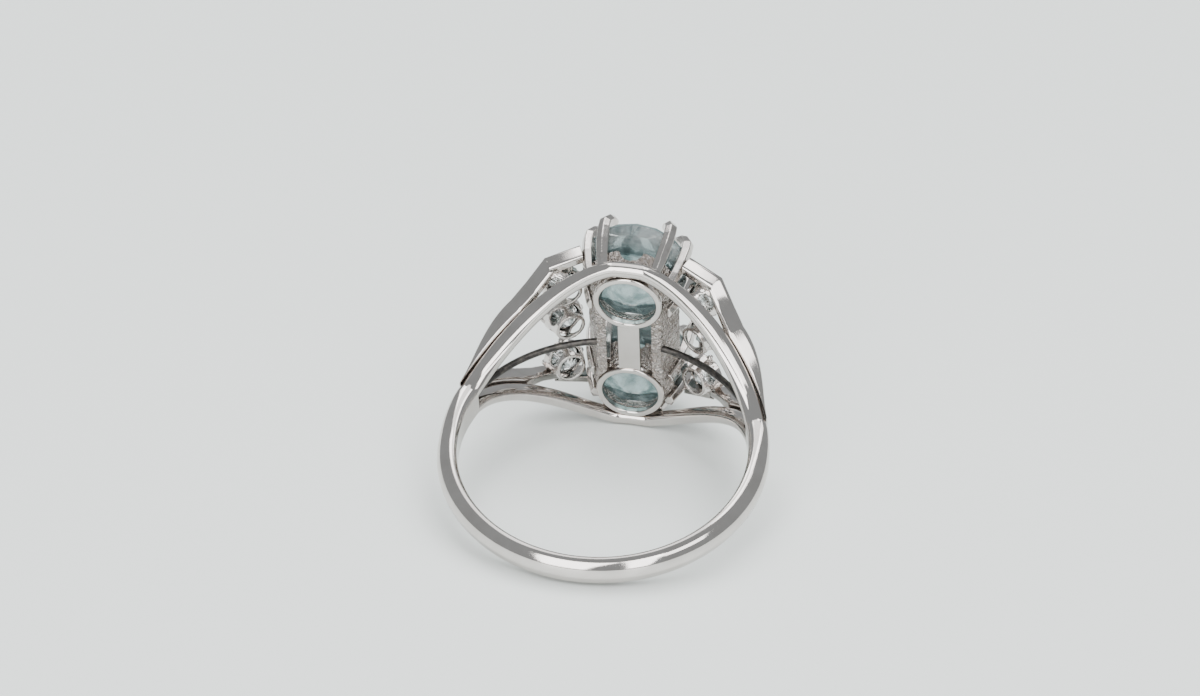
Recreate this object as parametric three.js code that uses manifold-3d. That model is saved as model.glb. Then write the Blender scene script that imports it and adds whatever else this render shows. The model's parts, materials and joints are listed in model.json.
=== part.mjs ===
// An engagement ring with two round aquamarines and six side diamonds, in white metal.
// The ring frame has X across the finger, Y towards the head and Z along the finger.
// The whole ring then leans back until it lies on its side, as it would on a table.
import * as THREE from 'three';
import { mergeVertices } from 'three/addons/utils/BufferGeometryUtils.js';
import { ConvexGeometry } from 'three/addons/geometries/ConvexGeometry.js';
import Module from 'manifold-3d';

const wasm = await Module();
wasm.setup();

// ---- driving dimensions, in millimetres and degrees ----
const solderGap = 0.03;            // between pieces that are soldered or set together

const fingerRadius = 8.5;          // bore of the ring
const shankWidth = 1.83;
const shankThickness = 1.05;       // on the palm side
const shoulderRise = 0.05;         // the shank's ends stand this much above the rails
const forkAngle = 70;              // from the head, where the shank ends and the rails start

const railWidth = 0.86;            // inner tier of each fork
const railThickness = 1.2;
const railHeadThickness = 0.88;    // the rails are filed thinner where they cross the head
const railFlatAngle = 6;           // the rails run level across the head inside this angle
const railSpreadPower = 1.08;      // how late the rails spread apart
const wireDiameter = 0.42;         // mid wire inside the fork
const wireRise = 0.65;             // its centre above the bore

const stoneRadius = 3.0;           // aquamarines
const stoneGap = 1.68;             // between their girdles, along the finger
const culetRise = 0.45;            // their points above the bore
const sideStoneRadius = 1.14;      // diamonds

const baseRingBore = 1.7;          // radius of the opening under each aquamarine
const baseRingWall = 0.37;
const baseRingHeight = 0.5;
const strutWidth = 1.3;
const strutThickness = 0.45;
const basketHeight = 1.35;
const basketFlare = 0.68;          // how far the basket widens over its height
const basketWall = 0.36;
const scallopRadius = 0.75;        // low points in the basket rim, between the claws
const clawDiameter = 0.84;
const clawReach = 1.1;             // claw tips above the girdle
const clawFootRise = 0.15;         // claw feet above the basket's foot
const clawAngles = [38, 66];       // each pair, from the finger axis round the stone

const barWidth = 0.85;             // outer tier of each fork
const barRootThickness = 0.06;
const barThickness = 1.2;          // at the knee, where it leaves the rail
const kneeAngle = 40;
const boxWidth = 0.62;             // the folded box at the head end of the bar
const boxThickness = 1.08;
const boxCornerRise = 2.2;         // top of the fold above the bore
const boxEndRise = 3.0;
const boxSplay = 0.6;              // its head end stands this much wider than its fold
const kneeInset = 0.15;            // the knee is this far inside the line of the rail

const colletWall = 0.2;
const colletHeight = 1.25;
const colletTaper = 0.34;
const colletWindowWidth = 1.24;    // four oval windows leave four posts
const colletWindowHeight = 0.8;
const beadRadius = 0.2;
const sideStoneClear = 0.5;        // between an aquamarine and the diamonds beside it
const sideStoneTilt = 35;          // the diamonds face outward by this much
const middleStoneRise = 2.3;
const cornerStoneRise = 1.9;
const stoneRowGap = 0.46;          // between neighbouring collets
const boxBite = 0.3;               // how far a corner collet is let into its box
const cornerStoneLean = 8;         // towards the ends of the finger

const plateThickness = 0.6;        // side plates between the two baskets
const plateInset = 0.42;           // their foot inside the base ring's outer line
const plateLean = 0.42;            // outward for each unit of height
const plateHeight = 2.0;
const plateFootRise = 0.12;        // their foot above the base rings' foot

// ---- sizes that follow from them ----
const stoneSpacing = 2 * stoneRadius + stoneGap;
const stoneZ = stoneSpacing / 2;
const baseRingOuter = baseRingBore + baseRingWall;
const railHeadZ = stoneZ + baseRingOuter + solderGap + railWidth / 2;
const railForkZ = (wireDiameter + railWidth) / 2 + solderGap;
const shoulderWidth = 2 * railForkZ + railWidth;
const railOuter = fingerRadius + railThickness;
const shoulderThickness = railThickness + shoulderRise;
const baseFoot = fingerRadius + solderGap;
const basketFoot = baseFoot + baseRingHeight + solderGap;
const basketTop = basketFoot + basketHeight;
const sideStoneReach = sideStoneRadius * Math.cos(THREE.MathUtils.degToRad(sideStoneTilt));
const sideStoneX = stoneRadius + sideStoneReach + sideStoneClear;
const colletRadius = sideStoneRadius + colletWall * 0.75;
const beadCentre = colletRadius - colletWall * 0.35;
const beadHeight = 0.1;            // above the diamond's girdle
const cornerStoneZ = 2 * (beadCentre + beadRadius) + stoneRowGap;
const clawSeat = stoneRadius + clawDiameter * 0.2;
const clawTurn = THREE.MathUtils.degToRad(Math.max(...clawAngles));
const boxEndX = clawSeat * Math.sin(clawTurn) + clawDiameter / 2 + solderGap;
const boxFoldX = sideStoneX + colletRadius * 0.72;
const boxFoldZ = cornerStoneZ + colletRadius - boxBite + boxWidth / 2;
const turnSegments = 32;           // round the lathe-turned baskets and rings
const smallTurnSegments = 18;      // round the collets

const degrees = THREE.MathUtils.degToRad;
const clampUnit = (value) => Math.min(1, Math.max(0, value));
const mix = THREE.MathUtils.lerp;
const smooth = (value) => THREE.MathUtils.smoothstep(value, 0, 1);

// ---- solids and cuts ----
// Shared corners are merged and triangles of no area are left out, then the winding is checked.
function closed(geometry) {
  const bare = geometry.clone();
  bare.deleteAttribute('normal');
  bare.deleteAttribute('uv');
  const merged = mergeVertices(bare, 1e-4);
  const at = merged.getAttribute('position');
  const index = merged.getIndex().array;
  const kept = [];
  let volume = 0;
  const [a, b, c] = [new THREE.Vector3(), new THREE.Vector3(), new THREE.Vector3()];
  for (let i = 0; i < index.length; i += 3) {
    const [p, q, r] = [index[i], index[i + 1], index[i + 2]];
    if (p === q || q === r || r === p) continue;
    kept.push(p, q, r);
    a.fromBufferAttribute(at, p);
    b.fromBufferAttribute(at, q);
    c.fromBufferAttribute(at, r);
    volume += a.dot(b.cross(c)) / 6;
  }
  if (volume < 0) {
    for (let i = 0; i < kept.length; i += 3) [kept[i + 1], kept[i + 2]] = [kept[i + 2], kept[i + 1]];
  }
  merged.setIndex(kept);
  return merged;
}

function toManifold(geometry) {
  const shape = closed(geometry);
  return new wasm.Manifold(new wasm.Mesh({
    numProp: 3,
    vertProperties: new Float32Array(shape.getAttribute('position').array),
    triVerts: new Uint32Array(shape.getIndex().array),
  }));
}

function toGeometry(solid) {
  const mesh = solid.getMesh();
  const geometry = new THREE.BufferGeometry();
  geometry.setAttribute('position', new THREE.BufferAttribute(new Float32Array(mesh.vertProperties), 3));
  geometry.setIndex(new THREE.BufferAttribute(new Uint32Array(mesh.triVerts), 1));
  return geometry;
}

const cut = (geometry, tools) => toGeometry(
  tools.reduce((solid, tool) => solid.subtract(toManifold(tool)), toManifold(geometry)));
const join = (geometries) => toGeometry(
  geometries.slice(1).reduce((solid, next) => solid.add(toManifold(next)), toManifold(geometries[0])));

// ---- sections ----
// A unit square with its corners rounded: `inner` on the finger side, `outer` away from it.
function barSection(inner, outer) {
  const shape = new THREE.Shape();
  const quarter = Math.PI / 2;
  shape.moveTo(-0.5 + inner, -0.5);
  shape.absarc(0.5 - inner, -0.5 + inner, inner, -quarter, 0);
  shape.absarc(0.5 - outer, 0.5 - outer, outer, 0, quarter);
  shape.absarc(-0.5 + outer, 0.5 - outer, outer, quarter, 2 * quarter);
  shape.absarc(-0.5 + inner, -0.5 + inner, inner, 2 * quarter, 3 * quarter);
  return shape;
}

const roundSection = new THREE.Shape().absarc(0, 0, 0.5, 0, 2 * Math.PI);

// A section carried through a list of stations, each with its centre, its two directions and sizes.
function loft(section, stations, curveSegments = 2) {
  const steps = stations.length - 1;
  const geometry = new THREE.ExtrudeGeometry(
    section, { depth: 1, steps, bevelEnabled: false, curveSegments });
  const at = geometry.getAttribute('position');
  const point = new THREE.Vector3();
  for (let i = 0; i < at.count; i += 1) {
    const station = stations[Math.round(at.getZ(i) * steps)];
    point.copy(station.centre)
      .addScaledVector(station.across, at.getX(i) * station.width)
      .addScaledVector(station.out, at.getY(i) * station.depth);
    at.setXYZ(i, point.x, point.y, point.z);
  }
  return geometry;
}

const alongFinger = new THREE.Vector3(0, 0, 1);
const outward = (angle) => new THREE.Vector3(Math.sin(degrees(angle)), Math.cos(degrees(angle)), 0);

// A station at an angle from the head, between two radii, at a place along the finger.
function radialStation(angle, inside, outside, z, width) {
  const out = outward(angle);
  const centre = out.clone().multiplyScalar((inside + outside) / 2).setZ(z);
  return { centre, across: alongFinger, out, width, depth: outside - inside };
}

function range(count, make) {
  return Array.from({ length: count + 1 }, (_, i) => make(i / count));
}

// ---- shank ----
function shank() {
  const endGap = THREE.MathUtils.radToDeg(solderGap / fingerRadius);
  const start = forkAngle + endGap;
  const flareSpan = 26;
  return loft(barSection(0.12, 0.38), range(60, (s) => {
    const angle = mix(start, 360 - start, s);
    const fromFork = Math.min(angle, 360 - angle) - start;
    const flare = 1 - smooth(clampUnit(fromFork / flareSpan));
    const rise = 1 - smooth(clampUnit(fromFork / (180 - start)));
    const outside = fingerRadius + mix(shankThickness, shoulderThickness, rise);
    return radialStation(angle, fingerRadius, outside, 0, mix(shankWidth, shoulderWidth, flare));
  }));
}

// ---- gallery rails: the inner tier, from one shoulder over the head to the other ----
function railZ(angle) {
  const along = clampUnit((forkAngle - Math.abs(angle)) / (forkAngle - railFlatAngle)) ** railSpreadPower;
  return mix(railForkZ, railHeadZ, (along + smooth(along)) / 2);
}

// A slanting bar is wider when it is measured along the finger.
function slantWidth(angle, width) {
  const step = 1;
  const run = 2 * degrees(step) * fingerRadius;
  return width * Math.hypot(1, (railZ(angle - step) - railZ(angle + step)) / run);
}

// Beyond the knees a rail is full height, and it thins from there to the head.
function railTop(angle) {
  const along = smooth(clampUnit((kneeAngle - Math.abs(angle)) / (kneeAngle - railFlatAngle)));
  return fingerRadius + mix(railThickness, railHeadThickness, along);
}

function rail(side, grow = 0) {
  const endAngle = forkAngle + THREE.MathUtils.radToDeg(grow / fingerRadius);
  return loft(barSection(0.28, 0.32), range(36, (s) => {
    const angle = mix(-endAngle, endAngle, s);
    const width = slantWidth(Math.abs(angle), railWidth) + 2 * grow;
    return radialStation(angle, fingerRadius - grow, railTop(angle) + grow, side * railZ(angle), width);
  }));
}

// ---- mid wires: one in each fork, from the crotch to the side plate ----
function midWire(hand, grow = 0) {
  const inside = fingerRadius + wireRise - wireDiameter / 2 - grow;
  const outside = inside + wireDiameter + 2 * grow;
  const headX = baseRingOuter - plateInset;
  const headAngle = THREE.MathUtils.radToDeg(Math.asin(headX / (fingerRadius + wireRise)));
  return loft(roundSection, range(22, (s) => radialStation(
    hand * mix(forkAngle, headAngle, s), inside, outside, 0, wireDiameter + 2 * grow)), 4);
}

// ---- outer bars: the second tier of each fork, ending in a folded box ----
function shoulderBar(hand, side) {
  const section = barSection(0.16, 0.2);
  const foot = railOuter + solderGap;
  const stations = range(9, (s) => {
    const angle = mix(forkAngle, kneeAngle, s);
    const thickness = mix(barRootThickness, barThickness, smooth(s));
    const z = railZ(angle) - kneeInset * s;
    const width = slantWidth(angle, mix(railWidth, barWidth, s));
    return radialStation(angle, foot, foot + thickness, z, width);
  });
  const kneeTop = outward(kneeAngle).multiplyScalar(foot + barThickness).setZ(railZ(kneeAngle) - kneeInset);
  const foldTop = new THREE.Vector3(boxFoldX, fingerRadius + boxCornerRise, boxFoldZ);
  const endTop = new THREE.Vector3(boxEndX, fingerRadius + boxEndRise, boxFoldZ + boxSplay);
  const facing = (from, to) => to.clone().sub(from).setZ(0).normalize().cross(alongFinger);
  const lower = facing(kneeTop, foldTop);
  const upper = facing(foldTop, endTop);
  const foldOut = lower.clone().add(upper).normalize();
  const boxStation = (top, out, depth) => ({
    centre: top.clone().addScaledVector(out, -depth / 2), across: alongFinger, out, width: boxWidth, depth,
  });
  stations.push(
    boxStation(kneeTop.clone().lerp(foldTop, 0.45), lower, boxThickness),
    boxStation(foldTop, foldOut, boxThickness / lower.dot(foldOut)),
    boxStation(endTop, upper, boxThickness),
  );
  const bar = loft(section, stations);
  bar.scale(hand, 1, side);
  const corner = { hand, side };
  return cut(bar, [
    colletEnvelope(corner, solderGap), diamond(corner, solderGap),
  ]);
}

// ---- stones: round brilliants, girdle at the origin, table towards +Y ----
// The proportions of each cut, as shares of the stone's radius. The lower facets meet at
// `lower` from the axis, `lowerDrop` of the way from the girdle down to the point.
const crownShares = { girdle: 0.03, crown: 0.28, table: 0.57, star: 0.8 };
const fullCut = { ...crownShares, pavilion: 1.087, lower: 0.74, lowerDrop: 0.72 };
const brightCut = { ...crownShares, pavilion: 0.88, lower: 0.24, lowerDrop: 0.78 };
const girdleY = fingerRadius + culetRise + stoneRadius * (fullCut.pavilion + fullCut.girdle);

function brilliant(radius, cutShares, grow = 0) {
  const eighth = Math.PI / 4;
  const wide = radius + grow;
  const [girdle, crown, pavilion] = [cutShares.girdle, cutShares.crown, cutShares.pavilion]
    .map((share) => radius * share + grow);
  const [table, star, lower] = [cutShares.table, cutShares.star, cutShares.lower]
    .map((share) => wide * share);
  const onCrown = girdle + crown * (1 - (star * Math.cos(eighth / 2) - table) / (wide - table));
  const onPavilion = -girdle - pavilion * cutShares.lowerDrop;
  const points = [new THREE.Vector3(0, -girdle - pavilion, 0)];
  const ring = (count, size, y, turn) => {
    for (let i = 0; i < count; i += 1) {
      const angle = (i + turn) * ((2 * Math.PI) / count);
      points.push(new THREE.Vector3(size * Math.cos(angle), y, size * Math.sin(angle)));
    }
  };
  ring(8, table, girdle + crown, 0);
  ring(8, star, onCrown, 0.5);
  ring(16, wide, girdle, 0);
  ring(16, wide, -girdle, 0);
  ring(8, lower, onPavilion, 0.5);
  return new ConvexGeometry(points);
}

const aquamarine = (side, grow = 0) => brilliant(stoneRadius, fullCut, grow)
  .translate(0, girdleY, side * stoneZ);
const diamond = (stone, grow = 0) => onShoulder(brilliant(sideStoneRadius, brightCut, grow), stone);

// ---- baskets under the aquamarines ----
const turned = (outline, segments = turnSegments) => new THREE.LatheGeometry(
  outline.map(([x, y]) => new THREE.Vector2(x, y)), segments);

function baseRing(side, grow = 0) {
  const ease = 0.09;
  const [low, high] = [baseFoot - grow, baseFoot + baseRingHeight + grow];
  const [bore, outer] = [baseRingBore, baseRingOuter + grow];
  return turned([
    [bore, low + ease], [bore + ease, low], [outer - ease, low], [outer, low + ease],
    [outer, high], [bore, high], [bore, low + ease],
  ]).translate(0, 0, side * stoneZ);
}

// The space that a basket takes up, as one solid cone.
function basketEnvelope(side, grow) {
  return turned([
    [0, baseFoot - grow], [baseRingOuter + grow, baseFoot - grow], [baseRingOuter + grow, basketFoot],
    [baseRingOuter + basketFlare + grow, basketTop + grow], [0, basketTop + grow],
  ]).translate(0, 0, side * stoneZ);
}

function basket(side) {
  const topOuter = baseRingOuter + basketFlare;
  const bowl = turned([
    [baseRingOuter - basketWall, basketFoot], [baseRingOuter, basketFoot], [topOuter, basketTop],
    [topOuter - basketWall, basketTop], [baseRingOuter - basketWall, basketFoot],
  ]);
  const reach = 2 * topOuter + 1;
  const scallops = [0, 90].map((turn) => new THREE.CylinderGeometry(scallopRadius, scallopRadius, reach, 14)
    .rotateX(Math.PI / 2).rotateY(degrees(turn)).translate(0, basketTop + scallopRadius * 0.25, 0));
  const placed = [bowl, ...scallops].map((piece) => piece.translate(0, 0, side * stoneZ));
  return cut(placed[0], [placed[1], placed[2], rail(side, solderGap), aquamarine(side, solderGap)]);
}

// ---- claws: a pair at each corner of each aquamarine ----
function claw(side, corner, angle) {
  const [handX, handZ] = corner;
  const round = new THREE.Vector3(handX * Math.sin(degrees(angle)), 0, handZ * Math.cos(degrees(angle)));
  const across = new THREE.Vector3(0, 1, 0).cross(round);
  const path = new THREE.CatmullRomCurve3([
    [baseRingOuter + clawDiameter * 0.45, basketFoot + clawFootRise],
    [mix(baseRingOuter, clawSeat, 0.55) + clawDiameter * 0.3, mix(basketFoot, girdleY, 0.5)],
    [clawSeat, girdleY - 0.25],
    [clawSeat - 0.02, girdleY + clawReach * 0.45],
    [clawSeat - clawDiameter * 0.5, girdleY + clawReach * 0.85],
    [clawSeat - clawDiameter * 0.95, girdleY + clawReach],
  ].map(([r, y]) => round.clone().multiplyScalar(r).add(new THREE.Vector3(0, y, side * stoneZ))));
  const taper = [0.85, 1, 1, 1, 0.9, 0.5];
  const stations = range(7, (s) => {
    const tangent = path.getTangent(s);
    const place = s * (taper.length - 1);
    const below = Math.min(Math.floor(place), taper.length - 2);
    const width = clawDiameter * mix(taper[below], taper[below + 1], place - below);
    return { centre: path.getPoint(s), across, out: tangent.clone().cross(across), width, depth: width };
  });
  const neighbours = sideStones.filter((stone) => stone.hand === handX);
  return cut(loft(roundSection, stations, 3), [
    basketEnvelope(side, solderGap), rail(side, solderGap), aquamarine(side, solderGap),
    sidePlateEnvelope(handX), ...neighbours.map((stone) => colletEnvelope(stone, solderGap)),
  ]);
}

// ---- centre strut and side plates between the two base rings ----
function strut() {
  const length = stoneSpacing - 2 * baseRingBore;
  return cut(
    new THREE.BoxGeometry(strutWidth, strutThickness, length).translate(0, baseFoot + strutThickness / 2, 0),
    [1, -1].map((side) => basketEnvelope(side, solderGap)));
}

function plateOutline(grow) {
  const foot = baseRingOuter - plateInset - plateThickness / 2 - grow;
  const low = baseFoot + plateFootRise - grow;
  const high = low + plateHeight + 2 * grow;
  const lean = plateLean * (high - low);
  const wide = plateThickness + 2 * grow;
  return new THREE.Shape([
    [foot, low], [foot + wide, low], [foot + wide + lean, high], [foot + lean, high],
  ].map(([x, y]) => new THREE.Vector2(x, y)));
}

const plateSolid = (hand, grow) => new THREE.ExtrudeGeometry(plateOutline(grow), {
  depth: stoneSpacing, bevelEnabled: false,
}).translate(0, 0, -stoneSpacing / 2).scale(hand, 1, 1);

const sidePlateEnvelope = (hand) => plateSolid(hand, solderGap);

function sidePlate(hand) {
  const middle = sideStones.find((stone) => stone.hand === hand && stone.side === 0);
  return cut(plateSolid(hand, 0), [
    basketEnvelope(1, solderGap), basketEnvelope(-1, solderGap), midWire(hand, solderGap),
    aquamarine(1, solderGap), aquamarine(-1, solderGap), colletEnvelope(middle, solderGap),
  ]);
}

// ---- side diamonds in open collets ----
const sideStones = [1, -1].flatMap((hand) => [1, 0, -1].map((side) => ({ hand, side })));

// From the stone's own axis (+Y, girdle at the origin) to its place on the ring.
function onShoulder(geometry, { hand, side }) {
  const rise = side === 0 ? middleStoneRise : cornerStoneRise;
  return geometry
    .rotateX(degrees(side * cornerStoneLean))
    .rotateZ(-hand * degrees(sideStoneTilt))
    .translate(hand * sideStoneX, fingerRadius + rise, side * cornerStoneZ);
}

const colletOutline = (grow) => [
  [colletRadius - colletTaper + grow, -colletHeight - grow], [colletRadius + grow, 0.08 + grow],
];

// The space that a collet and its beads take up, as one solid.
function colletEnvelope(stone, grow) {
  const [foot, lip] = colletOutline(grow);
  const beads = beadCentre + beadRadius + grow;
  const [low, high] = [beadHeight - beadRadius - grow, beadHeight + beadRadius + grow];
  return onShoulder(turned([
    [0, foot[1]], foot, [lip[0], low - 0.05], [beads, low], [beads, high], [0, high],
  ], smallTurnSegments), stone);
}

function collet(stone) {
  const [foot, lip] = colletOutline(0);
  const cup = turned([
    [foot[0] - colletWall, foot[1]], foot, lip, [lip[0] - colletWall, lip[1]],
    [foot[0] - colletWall, foot[1]],
  ], smallTurnSegments);
  const reach = 4 * colletRadius;
  const windows = [45, 135].map((turn) => new THREE.CylinderGeometry(0.5, 0.5, reach, 8)
    .rotateX(Math.PI / 2).scale(colletWindowWidth, colletWindowHeight, 1)
    .rotateY(degrees(turn)).translate(0, -colletHeight * 0.52, 0));
  const beads = [0, 90, 180, 270].map((turn) => new THREE.SphereGeometry(beadRadius, 6, 4)
    .translate(beadCentre, beadHeight, 0).rotateY(degrees(turn)));
  const whole = join([cut(cup, windows), ...beads]);
  return cut(onShoulder(whole, stone), [
    diamond(stone, solderGap), midWire(stone.hand, solderGap),
    rail(stone.side || 1, solderGap),
  ]);
}

// ---- the ring as an assembly ----
const polishedMetal = { color: 0xc9c6c2, metalness: 1, roughness: 0.16 };
const castMetal = { color: 0xb3aeaa, metalness: 1, roughness: 0.42 };
const wireMetal = { color: 0x8f8b88, metalness: 1, roughness: 0.25 };
const blueStone = { color: 0xa9d3d6, metalness: 0, roughness: 0.04 };
const whiteStone = { color: 0xe8eef0, metalness: 0, roughness: 0.03 };

const ring = new THREE.Group();

function addPiece(name, geometry, finish) {
  const mesh = new THREE.Mesh(closed(geometry), new THREE.MeshStandardMaterial(finish));
  mesh.name = name;
  ring.add(mesh);
}

const rowName = { 1: 'upper', 0: 'middle', '-1': 'lower' };
const handName = { 1: 'right', '-1': 'left' };

addPiece('shank', shank(), polishedMetal);
for (const side of [1, -1]) {
  const row = rowName[side];
  addPiece(`gallery_rail_${row}`, rail(side), polishedMetal);
  addPiece(`base_ring_${row}`, baseRing(side), polishedMetal);
  addPiece(`basket_${row}`, basket(side), castMetal);
  addPiece(`aquamarine_${row}`, aquamarine(side), blueStone);
  for (const [handX, handZ] of [[1, 1], [1, -1], [-1, 1], [-1, -1]]) {
    clawAngles.forEach((angle, i) => {
      const place = `${handName[handX]}_${handZ === side ? 'outer' : 'inner'}_${i + 1}`;
      addPiece(`claw_${row}_${place}`, claw(side, [handX, handZ], angle), castMetal);
    });
  }
  for (const hand of [1, -1]) {
    addPiece(`shoulder_bar_${row}_${handName[hand]}`, shoulderBar(hand, side), polishedMetal);
  }
}
addPiece('centre_strut', strut(), polishedMetal);
for (const hand of [1, -1]) {
  addPiece(`mid_wire_${handName[hand]}`, cut(midWire(hand), [plateSolid(hand, solderGap)]), wireMetal);
  addPiece(`side_plate_${handName[hand]}`, sidePlate(hand), castMetal);
}
for (const stone of sideStones) {
  const place = `${rowName[stone.side]}_${handName[stone.hand]}`;
  addPiece(`collet_${place}`, collet(stone), castMetal);
  addPiece(`diamond_${place}`, diamond(stone), whiteStone);
}

// ---- lying on its side ----
// The ring rocks back until the lower gallery rail and the palm side of the shank both touch down.
function restLean() {
  const corners = ring.children.flatMap((piece) => {
    const at = piece.geometry.getAttribute('position');
    return Array.from({ length: at.count }, (_, i) => [at.getY(i), at.getZ(i)]);
  });
  let [low, high] = [0, Math.PI / 3];
  for (let i = 0; i < 30; i += 1) {
    const lean = (low + high) / 2;
    const heights = corners.map(([y, z]) => y * Math.sin(lean) + z * Math.cos(lean));
    const lowest = corners[heights.indexOf(Math.min(...heights))];
    if (lowest[0] > 0) low = lean;
    else high = lean;
  }
  return (low + high) / 2;
}

ring.rotation.x = restLean();
const group = new THREE.Group();
group.add(ring);
group.updateMatrixWorld(true);
const extent = new THREE.Box3().setFromObject(group, true);
const middle = extent.getCenter(new THREE.Vector3());
ring.position.set(-middle.x, -middle.y, -extent.min.z);
group.updateMatrixWorld(true);

export default group;
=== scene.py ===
"""Finishes an engagement ring: polished bars, cast settings and cut stones, on a pale table."""
import json
import math
from collections import namedtuple
import bmesh
import bpy
from bpy.props import FloatProperty, FloatVectorProperty, PointerProperty
from bpy.types import Operator, Panel, PropertyGroup
from mathutils import Matrix, Vector, noise


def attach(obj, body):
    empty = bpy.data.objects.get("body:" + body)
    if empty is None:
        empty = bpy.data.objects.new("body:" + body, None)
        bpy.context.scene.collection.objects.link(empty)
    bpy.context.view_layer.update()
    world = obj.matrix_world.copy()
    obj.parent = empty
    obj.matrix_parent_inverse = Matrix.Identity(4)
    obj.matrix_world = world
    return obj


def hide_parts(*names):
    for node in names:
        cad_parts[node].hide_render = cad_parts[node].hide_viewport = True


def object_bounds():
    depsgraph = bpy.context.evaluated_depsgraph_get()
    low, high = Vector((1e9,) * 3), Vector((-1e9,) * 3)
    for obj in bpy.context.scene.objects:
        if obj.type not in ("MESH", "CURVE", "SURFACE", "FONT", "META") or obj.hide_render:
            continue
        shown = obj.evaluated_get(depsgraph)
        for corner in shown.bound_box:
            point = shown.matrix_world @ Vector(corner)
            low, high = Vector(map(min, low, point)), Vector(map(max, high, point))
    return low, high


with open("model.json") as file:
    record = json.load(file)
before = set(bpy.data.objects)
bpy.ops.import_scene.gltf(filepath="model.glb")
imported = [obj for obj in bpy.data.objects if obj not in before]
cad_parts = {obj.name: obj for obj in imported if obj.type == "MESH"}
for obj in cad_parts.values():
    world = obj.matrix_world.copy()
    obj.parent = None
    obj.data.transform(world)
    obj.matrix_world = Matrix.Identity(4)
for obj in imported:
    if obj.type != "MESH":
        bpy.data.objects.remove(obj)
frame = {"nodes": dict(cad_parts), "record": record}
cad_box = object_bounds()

bl_info = {
    "name": "Engagement Ring Finisher",
    "version": (1, 0, 0),
    "blender": (4, 5, 0),
    "location": "View3D > Sidebar > Ring",
    "description": "Builds the polished, cast and cut pieces of a ring round its plain model",
    "category": "Add Mesh",
}

MM = 0.001
HANDS = {"left": -1, "right": 1}
ROWS = {"upper": 1, "lower": -1}
THREE_ROWS = {"upper": 1, "middle": 0, "lower": -1}


# ---- sizes and colours that a user would change --------------------------------------------

def length(value, label, description, low=0.0):
    """A length in millimetres. Only a place, such as where the camera aims, goes below nought."""
    return FloatProperty(
        name=label, description=description, default=value * MM, min=low, precision=5, unit="LENGTH")


def turn(value, label, description):
    return FloatProperty(
        name=label, description=description, default=math.radians(value), unit="ROTATION")


def share(value, label, description):
    return FloatProperty(name=label, description=description, default=value, subtype="FACTOR")


def colour(value, label, description):
    return FloatVectorProperty(
        name=label, description=description, default=value, min=0.0, max=1.0, subtype="COLOR")


class BandSizes(PropertyGroup):
    finger_radius: length(8.5, "Bore radius", "Radius of the finger hole")
    palm_flat_rise: length(0.41, "Palm flat rise", "Middle of the band's flat sides above the bore")
    shank_width: length(1.83, "Shank width", "Width of the band on the palm side")
    shank_thickness: length(1.05, "Shank thickness", "Thickness of the band on the palm side")
    shoulder_thickness: length(1.25, "Shoulder thickness", "Thickness of the band where it forks")
    flare: turn(26, "Flare", "How far round the band the shoulders widen")
    fork_angle: turn(70, "Fork angle", "Where the band forks, from the head")
    rail_width: length(0.86, "Rail width", "Width of a gallery rail")
    rail_thickness: length(1.2, "Rail thickness", "Thickness of a gallery rail at its shoulders")
    rail_head_thickness: length(0.88, "Rail head thickness", "Thickness of a rail over the head")
    rail_flat_angle: turn(6, "Rail flat", "The rails run level inside this angle")
    rail_spread_power: share(1.08, "Rail spread", "How late the rails spread apart")
    wire_diameter: length(0.42, "Wire diameter", "Diameter of a mid wire")
    wire_rise: length(0.65, "Wire rise", "Middle of a mid wire above the bore")
    solder_gap: length(0.03, "Solder gap", "Seam between soldered pieces")


class BarSizes(PropertyGroup):
    knee_angle: turn(40, "Knee angle", "Where a shoulder bar leaves the rail")
    knee_inset: length(0.15, "Knee inset", "How far the knee stands inside the rail's line")
    width: length(0.85, "Bar width", "Width of a shoulder bar at its knee")
    root_thickness: length(0.06, "Root thickness", "Thickness of a shoulder bar at its root")
    thickness: length(1.2, "Bar thickness", "Thickness of a shoulder bar at its knee")
    box_width: length(0.62, "Box width", "Width of the folded box")
    box_thickness: length(1.08, "Box thickness", "Thickness of the folded box")
    fold_rise: length(2.2, "Fold rise", "Top of the fold above the bore")
    end_rise: length(3.0, "End rise", "Top of the box's head end above the bore")
    end_clear: length(0.344, "End clearance", "Head end of the box beyond the aquamarine")
    splay: length(0.6, "Splay", "How much wider the boxes stand at their head ends")
    bite: length(0.3, "Bite", "How far a corner collet is let into its box")
    fold_reach: share(0.72, "Fold reach", "Fold beyond a diamond's middle, in radii of its collet")


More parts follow.
